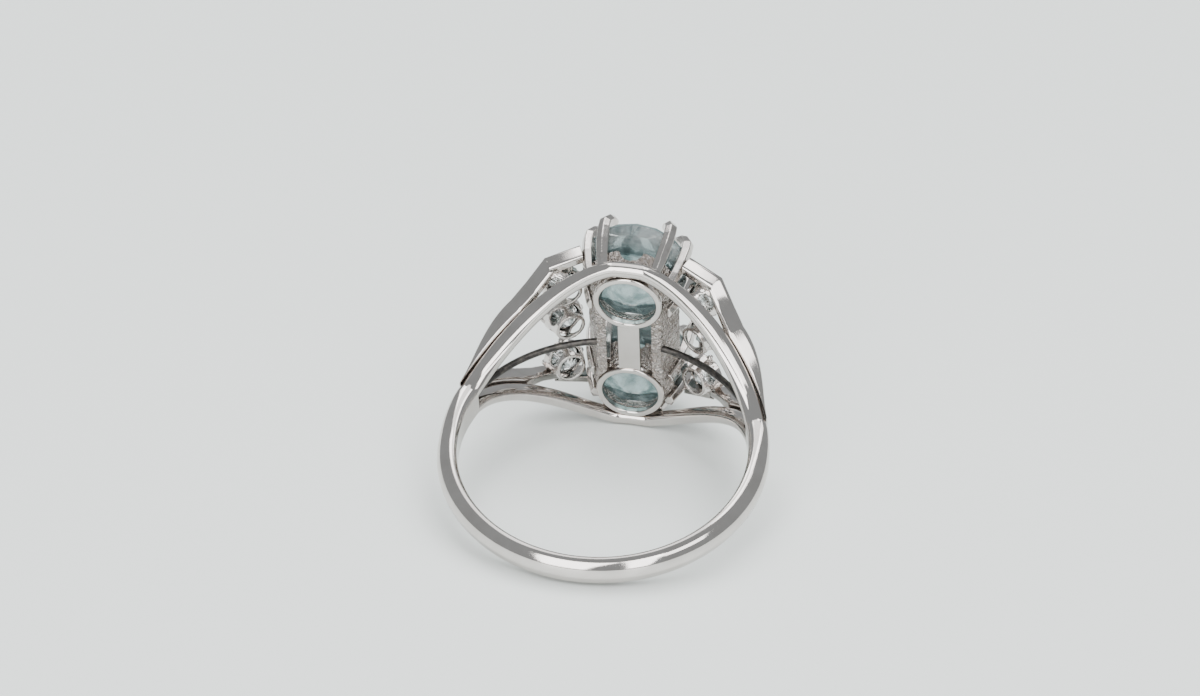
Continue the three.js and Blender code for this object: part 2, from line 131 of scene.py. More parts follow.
class HeadSizes(PropertyGroup):
    stone_radius: length(3.0, "Aquamarine radius", "Radius of an aquamarine's girdle")
    stone_gap: length(1.68, "Stone gap", "Gap between the girdles of the aquamarines")
    culet_rise: length(0.45, "Point rise", "Point of an aquamarine above the bore")
    ring_bore: length(1.7, "Base ring bore", "Radius of the opening in a base ring")
    ring_wall: length(0.37, "Base ring wall", "Wall of a base ring")
    ring_height: length(0.5, "Base ring height", "Height of a base ring")
    strut_width: length(1.3, "Strut width", "Width of the centre strut")
    strut_thickness: length(0.45, "Strut thickness", "Thickness of the centre strut")
    plate_inset: length(0.42, "Plate inset", "Foot of a side plate inside the base ring's edge")
    diamond_radius: length(1.14, "Diamond radius", "Radius of a side diamond's girdle")
    diamond_clear: length(0.5, "Diamond clearance", "Between an aquamarine and the side diamonds")
    diamond_tilt: turn(35, "Diamond tilt", "How far the side diamonds face outward")
    corner_lean: turn(8, "Corner lean", "How far the corner diamonds lean along the finger")
    middle_rise: length(2.3, "Middle rise", "Girdle of a middle diamond above the bore")
    corner_rise: length(1.9, "Corner rise", "Girdle of a corner diamond above the bore")
    collet_wall: length(0.2, "Collet wall", "Wall of a collet")
    bead_radius: length(0.2, "Bead radius", "Radius of a collet's beads")
    row_gap: length(0.46, "Row gap", "Gap between neighbouring collets")


def cut_shares(pavilion, lower, drop, roundness):
    """The properties of one cut, each a share of the stone's radius unless its name says otherwise."""
    return {
        "girdle": share(0.03, "Girdle", "Half the girdle's height"),
        "crown": share(0.28, "Crown", "Height of the crown"),
        "table": share(0.57, "Table", "Radius of the table"),
        "star": share(0.8, "Star", "Where the star facets end"),
        "pavilion": FloatProperty(
            name="Pavilion", description="Depth of the pavilion", default=pavilion, min=0.1),
        "lower": share(lower, "Lower facets", "Where the lower facets meet"),
        "drop": share(drop, "Drop", "How far down the pavilion the lower facets meet"),
        "roundness": share(roundness, "Roundness", "How round the girdle is between its corners"),
    }


class FullCut(PropertyGroup):
    __annotations__ = cut_shares(1.087, 0.74, 0.72, 0.3)


class BrightCut(PropertyGroup):
    __annotations__ = cut_shares(0.88, 0.24, 0.78, 1.0)


class Finishes(PropertyGroup):
    polished: colour((0.64, 0.605, 0.58), "Polished metal", "White metal where it is polished")
    # Random tarnished patches, and also the colour of the painted shade in the metal's recesses
    tarnish_and_shade: colour((0.34, 0.30, 0.27), "Tarnish", "The same metal in its recesses")
    cast: colour((0.56, 0.53, 0.51), "Cast metal", "White metal as it left the mould")
    wire: colour((0.05, 0.048, 0.046), "Dark wire", "Drawn wire, darkened")
    # Pale and deep ends of the aquamarine's painted reflections, painted into its colour; the middle
    # tone also tints its girdle
    aquamarine_painted_pale: colour((0.93, 0.99, 1.0), "Pale aquamarine", "Blue green stone at its palest")
    aquamarine: colour((0.21, 0.31, 0.315), "Aquamarine", "The same stone at its middle tone")
    aquamarine_painted_dark: colour((0.04, 0.08, 0.08), "Deep aquamarine", "The same stone at its deepest")
    # Bright and dark ends of the diamonds' painted sparkle; the bright one also tints the girdle
    diamond: colour((0.95, 0.97, 0.97), "Diamond", "Near colourless stone, where it is bright")
    diamond_painted_dark: colour((0.07, 0.09, 0.085), "Deep diamond", "The same stone where it is dark")
    table_top: colour((0.79, 0.83, 0.815), "Table", "Pale matt table")
    wear: share(0.5, "Wear", "How much the polish is scratched")


class StageSizes(PropertyGroup):
    camera_turn: turn(9.372, "Camera azimuth", "Turn of the camera round the ring")
    camera_height: turn(30.015, "Camera elevation", "Camera above the table")
    camera_roll: turn(1.999, "Camera roll", "Roll of the camera to the right")
    camera_distance: length(250, "Camera distance", "From the camera to the middle of the bore")
    aim_right: length(-0.16, "Aim right", "Aim of the camera to the right of the bore", low=-1.0)
    aim_up: length(6.23, "Aim up", "Aim of the camera above the bore", low=-1.0)
    lens: FloatProperty(
        name="Lens", description="Focal length", default=128.36, min=1.0, unit="CAMERA")
    table_size: length(1600, "Table size", "Side of the table")
    sky: colour((0.93, 0.98, 1.0), "Sky", "Colour of the light from all round")
    sky_strength: FloatProperty(
        name="Sky strength", description="Strength of the light from all round", default=0.45, min=0.0)


# Where a bar's section stands, its two directions and its size along each.
Station = namedtuple("Station", "centre across out width depth")

# How far a collet's wall stands outside its diamond, and its beads inside it, in walls.
SEAT_SHARE = 0.75
BEAD_SHARE = 0.35


class Plan:
    """The sizes that follow from the driving ones, in the ring's own frame: across, head, finger."""

    def __init__(self, scene):
        band, bar, head = scene.ring_band, scene.ring_bar, scene.ring_head
        self.band, self.bar, self.head = band, bar, head
        self.full_cut, self.bright_cut = scene.ring_full_cut, scene.ring_bright_cut
        self.spacing = 2 * head.stone_radius + head.stone_gap
        self.stone_z = self.spacing / 2
        self.ring_outer = head.ring_bore + head.ring_wall
        self.rail_head_z = self.stone_z + self.ring_outer + band.solder_gap + band.rail_width / 2
        self.rail_fork_z = (band.wire_diameter + band.rail_width) / 2 + band.solder_gap
        self.shoulder_width = 2 * self.rail_fork_z + band.rail_width
        self.bar_foot = band.finger_radius + band.rail_thickness + band.solder_gap
        self.base_foot = band.finger_radius + band.solder_gap
        self.girdle_y = (band.finger_radius + head.culet_rise
                         + head.stone_radius * (self.full_cut.pavilion + self.full_cut.girdle))
        self.diamond_x = (head.stone_radius + head.diamond_clear
                          + head.diamond_radius * math.cos(head.diamond_tilt))
        self.collet_radius = head.diamond_radius + head.collet_wall * SEAT_SHARE
        bead_reach = self.collet_radius - head.collet_wall * BEAD_SHARE + head.bead_radius
        self.corner_z = 2 * bead_reach + head.row_gap
        self.fold_x = self.diamond_x + self.collet_radius * bar.fold_reach
        self.fold_z = self.corner_z + self.collet_radius - bar.bite + bar.box_width / 2
        self.placement = self.find_placement()

    def find_placement(self):
        """The matrix from the ring's own frame to the table, from the two flats of the palm side."""
        mounts = {mount["name"]: mount for mount in frame["record"]["mounts"]}
        upper, lower = mounts["palm_side_upper"], mounts["palm_side_lower"]
        finger = Vector(upper["axis"]).normalized()
        across = Vector((1.0, 0.0, 0.0))
        head = finger.cross(across).normalized()
        palm = (Vector(upper["pos_m"]) + Vector(lower["pos_m"])) / 2
        palm.x = (cad_box[0].x + cad_box[1].x) / 2
        self.centre = palm + head * (self.band.finger_radius + self.band.palm_flat_rise)
        self.lean = finger.angle(ALONG_FINGER)
        axes = Matrix((across, head, finger)).transposed().to_4x4()
        return Matrix.Translation(self.centre) @ axes

    def rail_z(self, angle):
        """Middle of the upper rail along the finger, at an angle from the head."""
        band = self.band
        along = (band.fork_angle - abs(angle)) / (band.fork_angle - band.rail_flat_angle)
        along = clamp(along) ** band.rail_spread_power
        return mix(self.rail_fork_z, self.rail_head_z, (along + smooth(along)) / 2)

    def rail_top(self, angle):
        """Outer radius of a rail: full height as far as the knees, and thinner over the head."""
        band, knee = self.band, self.bar.knee_angle
        along = smooth(clamp((knee - abs(angle)) / (knee - band.rail_flat_angle)))
        return band.finger_radius + mix(band.rail_thickness, band.rail_head_thickness, along)

    def slant_width(self, angle, width):
        """A slanting bar is wider when it is measured along the finger."""
        step = math.radians(1)
        run = 2 * step * self.band.finger_radius
        rise = self.rail_z(angle - step) - self.rail_z(angle + step)
        return width * math.hypot(1, rise / run)

    def place_diamond(self, hand, row):
        """The matrix from a side diamond's own frame, table towards +Y, to the ring's frame."""
        head = self.head
        rise = head.corner_rise if row else head.middle_rise
        where = Vector((hand * self.diamond_x, self.band.finger_radius + rise, row * self.corner_z))
        return (Matrix.Translation(where)
                @ Matrix.Rotation(-hand * head.diamond_tilt, 4, "Z")
                @ Matrix.Rotation(row * head.corner_lean, 4, "X"))


def clamp(value):
    return min(1.0, max(0.0, value))


def mix(low, high, amount):
    return low + (high - low) * amount


def smooth(value):
    return value * value * (3 - 2 * value)


ALONG_FINGER = Vector((0.0, 0.0, 1.0))


def outward(angle):
    return Vector((math.sin(angle), math.cos(angle), 0.0))


# ---- shader nodes --------------------------------------------------------------------------

class Wire:
    """An output socket that takes part in sums: each operator adds one Math node."""

    def __init__(self, finish, socket):
        self.finish = finish
        self.socket = socket

    def math(self, operation, *terms):
        return self.finish.node("ShaderNodeMath", {"operation": operation}, dict(enumerate(terms)))

    def __add__(self, other):
        return self.math("ADD", self, other)

    __radd__ = __add__

    def __sub__(self, other):
        return self.math("SUBTRACT", self, other)

    def __rsub__(self, other):
        return self.math("SUBTRACT", other, self)

    def __mul__(self, other):
        return self.math("MULTIPLY", self, other)

    __rmul__ = __mul__


FINISH_ENDING = "_finish"


class Finish:
    """A material under construction, with one method that makes any node."""

    def __init__(self, name):
        self.material = bpy.data.materials.new(name + FINISH_ENDING)
        self.material.use_nodes = True
        self.tree = self.material.node_tree
        self.tree.nodes.clear()

    def node(self, kind, settings=None, inputs=None, output=0):
        made = self.tree.nodes.new(kind)
        for key, value in (settings or {}).items():
            if key == "stops":
                self.set_stops(made.color_ramp, value)
            else:
                setattr(made, key, value)
        for key, value in (inputs or {}).items():
            if isinstance(value, Wire):
                self.tree.links.new(value.socket, made.inputs[key])
            else:
                made.inputs[key].default_value = value
        return Wire(self, made.outputs[output]) if made.outputs else None

    @staticmethod
    def set_stops(ramp, stops):
        while len(ramp.elements) < len(stops):
            ramp.elements.new(0.5)
        for element, (position, value) in zip(ramp.elements, stops):
            element.position = position
            element.color = (value, value, value, 1.0)

    def blend(self, amount, first, second):
        """A colour between two colours. The Mix node's colour sockets are 6 and 7, its output 2."""
        sockets = {0: amount, 6: opaque(first), 7: opaque(second)}
        return self.node("ShaderNodeMix", {"data_type": "RGBA"}, sockets, 2)

    def places(self):
        return self.node("ShaderNodeTexCoord", output="Object")

    def grain(self, per_mm, detail=3.0, roughness=0.5, places=None):
        """Noise with this many lumps in a millimetre."""
        return self.node("ShaderNodeTexNoise", {}, {
            "Vector": places or self.places(), "Scale": per_mm / MM, "Detail": detail,
            "Roughness": roughness})

    def ramp(self, value, *stops):
        return self.node("ShaderNodeValToRGB", {"stops": stops}, {"Fac": value})

    def recess(self, reach):
        """1 deep in a corner or a groove, 0 on an open face."""
        open_sky = self.node("ShaderNodeAmbientOcclusion", {"samples": 6}, {"Distance": reach}, "AO")
        return 1 - open_sky

    def bumps(self, height, depth, strength=1.0):
        return self.node("ShaderNodeBump", {}, {
            "Strength": strength, "Distance": depth, "Height": height}, "Normal")

    def surface(self, **inputs):
        named = {key.replace("_", " "): value for key, value in inputs.items()}
        shader = self.node("ShaderNodeBsdfPrincipled", {}, named)
        self.node("ShaderNodeOutputMaterial", {}, {"Surface": shader})
        return self.material


def opaque(value):
    return value if isinstance(value, Wire) else (*value, 1.0)


def polished_metal(looks):
    """Bright metal: painted shade, a soft brown darkening in the recesses, and hair scratches that only
    the light finds.
    """
    finish = Finish("polished_metal")
    # Painted shade: the ambient occlusion mask darkens the colour in corners and grooves, and roughens
    # it there
    painted_shade_mask = finish.ramp(finish.recess(0.45 * MM), (0.3, 0.0), (0.95, 1.0))
    cloud = finish.grain(0.8, 4.0)
    scratches = finish.node("ShaderNodeTexNoise", {}, {
        "Vector": finish.node("ShaderNodeMapping", {}, {
            "Vector": finish.places(), "Rotation": (0.4, 0.2, 0.5), "Scale": (30.0, 1.0, 4.0)}),
        "Scale": 900.0, "Detail": 4.0, "Roughness": 0.6})
    worn = finish.ramp(scratches, (0.45, 0.0), (0.7, 1.0))
    base = finish.blend(painted_shade_mask * 0.75, looks.polished, looks.tarnish_and_shade)
    base = finish.blend(finish.ramp(cloud, (0.4, 0.0), (0.75, 0.22)), base, looks.tarnish_and_shade)
    return finish.surface(
        Base_Color=base, Metallic=1.0,
        Roughness=cloud * 0.06 + worn * (0.06 * looks.wear) + painted_shade_mask * 0.12 + 0.035,
        Normal=finish.bumps(scratches * 0.5 + cloud * 0.5, 0.004 * MM, 0.5))


def cast_metal(looks):
    """Metal as it left the mould: grainy, with a few bright specks, and painted shade darkening it in
    its recesses.
    """
    finish = Finish("cast_metal")
    lumps = finish.grain(5.0, 5.0, 0.65)
    pits = finish.node("ShaderNodeTexVoronoi", {}, {
        "Vector": finish.places(), "Scale": 7.0 / MM, "Randomness": 1.0}, "Distance")
    # Painted shade: the ambient occlusion mask darkens the colour in corners and grooves
    painted_shade_mask = finish.ramp(finish.recess(0.5 * MM), (0.25, 0.0), (0.9, 1.0))
    base = finish.blend(painted_shade_mask * 0.9, looks.cast, looks.tarnish_and_shade)
    base = finish.blend(finish.ramp(lumps, (0.46, 0.95), (0.58, 0.0)), base, looks.tarnish_and_shade)
    return finish.surface(
        Base_Color=base, Metallic=1.0, Roughness=lumps * 0.24 + 0.02,
        Normal=finish.bumps(lumps + pits * 0.6, 0.2 * MM, 1.0))


def claw_metal(looks):
    """Filed and rubbed on the outside, with painted shade: brown in its recesses, where the light
    doesn't reach.
    """
    finish = Finish("claw_metal")
    rub = finish.grain(2.5, 4.0, 0.6)
    # Painted shade: the ambient occlusion mask darkens the colour in corners and grooves
    painted_shade_mask = finish.ramp(finish.recess(0.5 * MM), (0.3, 0.0), (0.9, 1.0))
    base = finish.blend(painted_shade_mask * 0.8, looks.polished, looks.tarnish_and_shade)
    base = finish.blend(finish.ramp(rub, (0.45, 0.0), (0.7, 0.3)), base, looks.tarnish_and_shade)
    return finish.surface(
        Base_Color=base, Metallic=1.0, Roughness=rub * 0.16 + 0.1,
        Normal=finish.bumps(rub, 0.006 * MM, 0.4))


def dark_wire(looks):
    finish = Finish("dark_wire")
    drawn = finish.grain(3.0, 4.0, 0.6)
    base = finish.blend(finish.ramp(drawn, (0.45, 0.0), (0.8, 0.3)), looks.wire, looks.tarnish_and_shade)
    return finish.surface(
        Base_Color=base, Metallic=1.0, Roughness=drawn * 0.25 + 0.22,
        Normal=finish.bumps(drawn, 0.01 * MM, 0.5))


def aquamarine_with_painted_reflections(looks, plan):
    """Clear stone with painted reflections: pale and dark internal reflections in long stripes, deep at
    its point and pale towards the girdle.
    """
    finish = Finish("aquamarine")
    upright = finish.node("ShaderNodeMapping", {}, {
        "Vector": finish.places(), "Rotation": (-plan.lean, 0.0, 0.0)})
    drawn_out = finish.node("ShaderNodeMapping", {}, {"Vector": upright, "Scale": (1.0, 0.12, 1.0)})
    # Painted reflections: stretched noise paints pale and dark internal reflections into the colour
    painted_reflection_streaks = finish.ramp(finish.grain(1.3, 2.0, 0.6, drawn_out), (0.4, 0.0), (0.6, 1.0))
    height = finish.node("ShaderNodeSeparateXYZ", {}, {"Vector": upright}, "Y")
    middle = Matrix.Rotation(-plan.lean, 3, "X") @ plan.centre
    # The painted reflections run darker towards the point and paler in the girdle's zone
    zone = finish.node("ShaderNodeMapRange", {}, {
        "Value": height, "From Min": middle.y + plan.girdle_y * 0.86,
        "From Max": middle.y + plan.girdle_y})
    low = finish.blend(painted_reflection_streaks, looks.aquamarine_painted_dark, looks.aquamarine)
    high = finish.blend(painted_reflection_streaks * 0.7 + 0.3, looks.aquamarine, looks.aquamarine_painted_pale)
    dust = finish.ramp(finish.grain(4.0, 4.0, 0.7), (0.62, 0.0), (0.8, 1.0))
    return finish.surface(
        Base_Color=finish.blend(zone, low, high),
        Roughness=dust * 0.05 + 0.004, IOR=1.577, Transmission_Weight=0.84)


def diamond_with_painted_sparkle(looks):
    """Bright stone with painted reflections: small dark and white patches painted into its colour as
    sparkle.
    """
    finish = Finish("diamond")
    patches = finish.node("ShaderNodeTexVoronoi", {}, {
        "Vector": finish.places(), "Scale": 2.6 / MM, "Randomness": 1.0}, "Color")
    # Painted sparkle: each cell picks the dark or the white colour
    painted_glints = finish.ramp(patches, (0.3, 0.0), (0.55, 1.0))
    dust = finish.ramp(finish.grain(6.0, 3.0, 0.7), (0.62, 0.0), (0.8, 1.0))
    return finish.surface(
        Base_Color=finish.blend(painted_glints, looks.diamond_painted_dark, looks.diamond),
        Roughness=dust * 0.05 + 0.002, IOR=2.417, Transmission_Weight=1.0)


def ground_girdle(name, tint):
    """The matt edge of a cut stone."""
    finish = Finish(name)
    grit = finish.grain(14.0, 3.0)
    return finish.surface(
        Base_Color=finish.blend(grit, tint, tuple(part * 0.75 for part in tint)),
        Roughness=grit * 0.2 + 0.45, IOR=1.5, Transmission_Weight=0.6)


def pale_table(looks):
    finish = Finish("pale_table")
    fine = finish.grain(0.25, 4.0)
    return finish.surface(
        Base_Color=finish.blend(fine * 0.25, looks.table_top,
                                tuple(part * 0.94 for part in looks.table_top)),
        Roughness=fine * 0.1 + 0.4, Specular_IOR_Level=0.3)


def material(name):
    return bpy.data.materials[name + FINISH_ENDING]


# ---- mesh work -----------------------------------------------------------------------------

SHARP_EDGE = math.radians(38)


def add_piece(name, builder, finish, nodes, plan, smooth_faces=True):
    """Turns a bmesh in the ring's frame into a piece that stands for one plain node."""
    bmesh.ops.recalc_face_normals(builder, faces=builder.faces)
    builder.transform(plan.placement)
    mesh = bpy.data.meshes.new(name)
    builder.to_mesh(mesh)
    builder.free()
    for face in mesh.polygons:
        face.use_smooth = smooth_faces
    mesh.set_sharp_from_angle(angle=SHARP_EDGE)
    return stand_in(name, mesh, finish, nodes)


def stand_in(name, mesh, finish, nodes):
    piece = bpy.data.objects.new(name, mesh)
    bpy.context.collection.objects.link(piece)
    for wanted in finish if isinstance(finish, tuple) else (finish,):
        mesh.materials.append(material(wanted))
    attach(piece, "root")
    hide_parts(*nodes)
    return piece


CORNER_STEPS = 5


def rounded(corners):
    """A closed outline of (point, reach) corners, each rounded by a quarter of an ellipse.

    The outline's sides run along the two axes, and a corner's reach is its size along each.
    """
    points = []
    for i, (corner, reach) in enumerate(corners):
        before, after = corners[i - 1][0], corners[(i + 1) % len(corners)][0]
        back = Vector(before) - Vector(corner)
        ahead = Vector(after) - Vector(corner)
        size = Vector(reach)
        back = Vector(axis_step(part, span) for part, span in zip(back, size))
        ahead = Vector(axis_step(part, span) for part, span in zip(ahead, size))
        for step in range(CORNER_STEPS + 1):
            bend = math.pi / 2 * step / CORNER_STEPS
            points.append(Vector(corner) + back * (1 - math.sin(bend)) + ahead * (1 - math.cos(bend)))
    return points


def axis_step(part, span):
    return math.copysign(span, part) if abs(part) > 1e-9 else 0.0


def bar_section(inner, outer):
    """A unit square with rounded corners: `inner` on the finger side, `outer` away from it.

    Each flat side has a point near either end, so that its middle is shaded flat.
    """
    outline = rounded((
        ((-0.5, -0.5), inner), ((0.5, -0.5), inner), ((0.5, 0.5), outer), ((-0.5, 0.5), outer)))
    near_end = 0.08
    section = []
    for i, point in enumerate(outline):
        section.append(point)
        if i % (CORNER_STEPS + 1) == CORNER_STEPS:
            after = outline[(i + 1) % len(outline)]
            section.extend((point.lerp(after, near_end), point.lerp(after, 1 - near_end)))
    return section


def even_section(inner, outer):
    return bar_section((inner, inner), (outer, outer))


def round_section(sides=20):
    return [Vector((math.cos(turned), math.sin(turned))) / 2
            for turned in (2 * math.pi * i / sides for i in range(sides))]


def loft(stations, sections):
    """A closed bar: one section for all its stations, or one for each, with a cap at each end."""
    builder = bmesh.new()
    if isinstance(sections[0], Vector):
        sections = [sections] * len(stations)
    rings = [[builder.verts.new(
        station.centre + station.across * (point.x * station.width)
        + station.out * (point.y * station.depth)) for point in section]
        for station, section in zip(stations, sections)]
    for near, far in zip(rings, rings[1:]):
        bridge(builder, near, far)
    builder.faces.new(rings[0])
    builder.faces.new(rings[-1])
    return builder


def bridge(builder, near, far):
    for i, corner in enumerate(near):
        j = (i + 1) % len(near)
        builder.faces.new((corner, near[j], far[j], far[i]))


def between(near, far, amount):
    """A station part of the way from one to another."""
    return Station(
        near.centre.lerp(far.centre, amount), near.across, near.out.lerp(far.out, amount).normalized(),
        mix(near.width, far.width, amount), mix(near.depth, far.depth, amount))


def soft_end(end, inner, reach, steps=4):
    """Stations that round off the end of a bar, in order from inside to outside."""
    away = (end.centre - inner.centre).normalized()
    made = []
    for step in range(steps + 1):
        bend = math.pi / 2 * step / steps
        drop = 2 * reach * (1 - math.cos(bend))
        made.append(Station(
            end.centre + away * (reach * (math.sin(bend) - 1)), end.across, end.out,
            end.width - drop, end.depth - drop))
    return made


def turned_ring(outline, segments=128):
    """A closed outline of (radius, height) points turned round the head axis."""
    builder = bmesh.new()
    rings = []
    for k in range(segments):
        bend = 2 * math.pi * k / segments
        rings.append([builder.verts.new((point.x * math.cos(bend), point.y, point.x * math.sin(bend)))
                      for point in outline])
    for k in range(segments):
        bridge(builder, rings[k - 1], rings[k])
    return builder


def radial_station(angle, inside, outside, z, width):
    out = outward(angle)
    centre = out * ((inside + outside) / 2)
    centre.z = z
    return Station(centre, ALONG_FINGER, out, width, outside - inside)


def spread(count, make):
    return [make(i / count) for i in range(count + 1)]


# Lumps on a cast face: how many in a millimetre, and how the finer ones follow the coarse ones.
LUMPS_PER_MM = 3.2
LUMP_FADE, LUMP_STEP, LUMP_OCTAVES = 0.7, 2.1, 3
LUMP_MIDDLE = 0.25


def fused_copy(node, grain, softness, roughness):
    """A plain node's solid as one skin of small cells, its edges softened and its face roughened."""
    source = frame["nodes"][node]
    mesh = source.data.copy()
    mesh.materials.clear()
    mesh.transform(Matrix.Scale(1 / MM, 4))
    scratch = bpy.data.objects.new("scratch", mesh)
    bpy.context.collection.objects.link(scratch)
    weld = scratch.modifiers.new("weld", "WELD")
    weld.merge_threshold = 0.0005
    skin = scratch.modifiers.new("skin", "REMESH")
    skin.mode = "VOXEL"
    skin.voxel_size = grain
    soften = scratch.modifiers.new("soften", "SMOOTH")
    soften.factor = 0.5
    soften.iterations = softness
    shape = bpy.data.meshes.new_from_object(scratch.evaluated_get(bpy.context.evaluated_depsgraph_get()))
    bpy.data.objects.remove(scratch)
    normals = [vertex.normal.copy() for vertex in shape.vertices]
    for vertex, normal in zip(shape.vertices, normals):
        lump = noise.fractal(vertex.co * LUMPS_PER_MM, LUMP_FADE, LUMP_STEP, LUMP_OCTAVES)
        vertex.co += normal * ((lump - LUMP_MIDDLE) * roughness)
    shape.transform(Matrix.Scale(MM, 4))
    for face in shape.polygons:
        face.use_smooth = True
    return shape


# ---- stones --------------------------------------------------------------------------------

def facet_height(corners, x, z):
    """Height at (x, z) of the plane through three points."""
    normal = (corners[1] - corners[0]).cross(corners[2] - corners[0])
    offset = normal.dot(corners[0])
    return (offset - normal.x * x - normal.z * z) / normal.y


def brilliant(radius, cut):
    """A round stone about the origin, table towards +Y: flat facets and a scalloped girdle."""
    eighth = math.pi / 4
    girdle, crown, pavilion = radius * cut.girdle, radius * cut.crown, radius * cut.pavilion
    table, star, lower = radius * cut.table, radius * cut.star, radius * cut.lower
    star_y = girdle + crown * (1 - (star * math.cos(eighth / 2) - table) / (radius - table))
    lower_y = -girdle - pavilion * cut.drop

    def on_ring(size, y, steps):
        return Vector((size * math.cos(steps * eighth), y, size * math.sin(steps * eighth)))

    points = [Vector((0.0, -girdle - pavilion, 0.0))]
    for k in range(8):
        points.append(on_ring(table, girdle + crown, k))
        points.append(on_ring(star, star_y, k + 0.5))
        points.append(on_ring(lower, lower_y, k + 0.5))
        for start, end in ((k, k + 0.5), (k + 1, k + 0.5)):
            for inner, inner_y, edge in ((star, star_y, girdle), (lower, lower_y, -girdle)):
                facet = (on_ring(inner, inner_y, k + 0.5), on_ring(radius, edge, start),
                         on_ring(radius, edge, end))
                for s in (0.0, 0.25, 0.5, 0.75, 1.0):
                    chord = on_ring(radius, 0.0, start).lerp(on_ring(radius, 0.0, end), s)
                    spot = chord.lerp(on_ring(radius, 0.0, mix(start, end, s)), cut.roundness)
                    points.append(Vector((spot.x, facet_height(facet, spot.x, spot.z), spot.z)))
    builder = bmesh.new()
    for point in points:
        builder.verts.new(point)
    bmesh.ops.remove_doubles(builder, verts=builder.verts, dist=radius * 1e-4)
    made = bmesh.ops.convex_hull(builder, input=builder.verts)
    inside = [vertex for vertex in made["geom_interior"] if isinstance(vertex, bmesh.types.BMVert)]
    bmesh.ops.delete(builder, geom=inside, context="VERTS")
    bmesh.ops.dissolve_limit(
        builder, angle_limit=math.radians(0.6), verts=builder.verts, edges=builder.edges)
    bmesh.ops.recalc_face_normals(builder, faces=builder.faces)
    for face in builder.faces:
        face.material_index = 1 if abs(face.normal.y) < 0.2 else 0
    return builder


# ---- operators -----------------------------------------------------------------------------

class RING_OT_finishes(Operator):
    """Make the metal, stone and table finishes"""
    bl_idname = "ring.finishes"
    bl_label = "Finishes"

    def execute(self, context):
        looks = context.scene.ring_looks
        polished_metal(looks)
        cast_metal(looks)
        claw_metal(looks)
        dark_wire(looks)
        aquamarine_with_painted_reflections(looks, Plan(context.scene))
        ground_girdle("aquamarine_girdle", tuple(looks.aquamarine))
        diamond_with_painted_sparkle(looks)
        ground_girdle("diamond_girdle", tuple(looks.diamond))
        pale_table(looks)
        return {"FINISHED"}


# The band's outside is dressed by this much, so that it stays inside its plain node.
TRIM = 0.003 * MM

# How far the band's corners are rounded, as shares of its width and thickness.
BAND_CORNERS = {"inner": (0.16, 0.22), "outer": (0.5, 0.76)}
FORK_CORNERS = {"inner": (0.17, 0.42), "outer": (0.17, 0.42)}


class RING_OT_shank(Operator):
    """Make the polished band, thinner and narrower on the palm side"""
    bl_idname = "ring.shank"
    bl_label = "Shank"

    def execute(self, context):
        plan = Plan(context.scene)
        band = plan.band
        palm, fork = BAND_CORNERS, FORK_CORNERS
        stations, sections = [], []
        for s in spread(180, float):
            angle = mix(band.fork_angle, 2 * math.pi - band.fork_angle, s)
            from_fork = min(angle, 2 * math.pi - angle) - band.fork_angle
            flare = 1 - smooth(clamp(from_fork / band.flare))
            rise = 1 - smooth(clamp(from_fork / (math.pi - band.fork_angle)))
            thickness = mix(band.shank_thickness, band.shoulder_thickness, rise) - TRIM
            width = mix(band.shank_width, plan.shoulder_width, flare)
            stations.append(radial_station(
                angle, band.finger_radius, band.finger_radius + thickness, 0.0, width))
            sections.append(bar_section(*(
                [mix(near, far, flare) for near, far in zip(palm[side], fork[side])]
                for side in ("inner", "outer"))))
        add_piece("band", loft(stations, sections), "polished_metal",
                  ("shank",), plan)
        return {"FINISHED"}


# How far a rail's ends reach into the shank.
RAIL_SUNK = math.radians(0.6)


class RING_OT_rails(Operator):
    """Make the two gallery rails, from shoulder to shoulder over the head"""
    bl_idname = "ring.rails"
    bl_label = "Gallery rails"

    def execute(self, context):
        plan = Plan(context.scene)
        band = plan.band
        end = band.fork_angle + RAIL_SUNK
        for row, side in ROWS.items():
            def station(s, side=side):
                angle = mix(-end, end, s)
                width = plan.slant_width(abs(angle), band.rail_width)
                return radial_station(
                    angle, band.finger_radius, plan.rail_top(angle), side * plan.rail_z(angle), width)

            builder = loft(spread(150, station), even_section(0.44, 0.42))
            add_piece(f"rail_{row}", builder, "polished_metal",
                      (f"gallery_rail_{row}",), plan)
        return {"FINISHED"}


# How near to its fold a box's flats run, as a share of each, and how its head end is rounded.
CREASE = 0.05
BOX_EDGE = 0.05 * MM


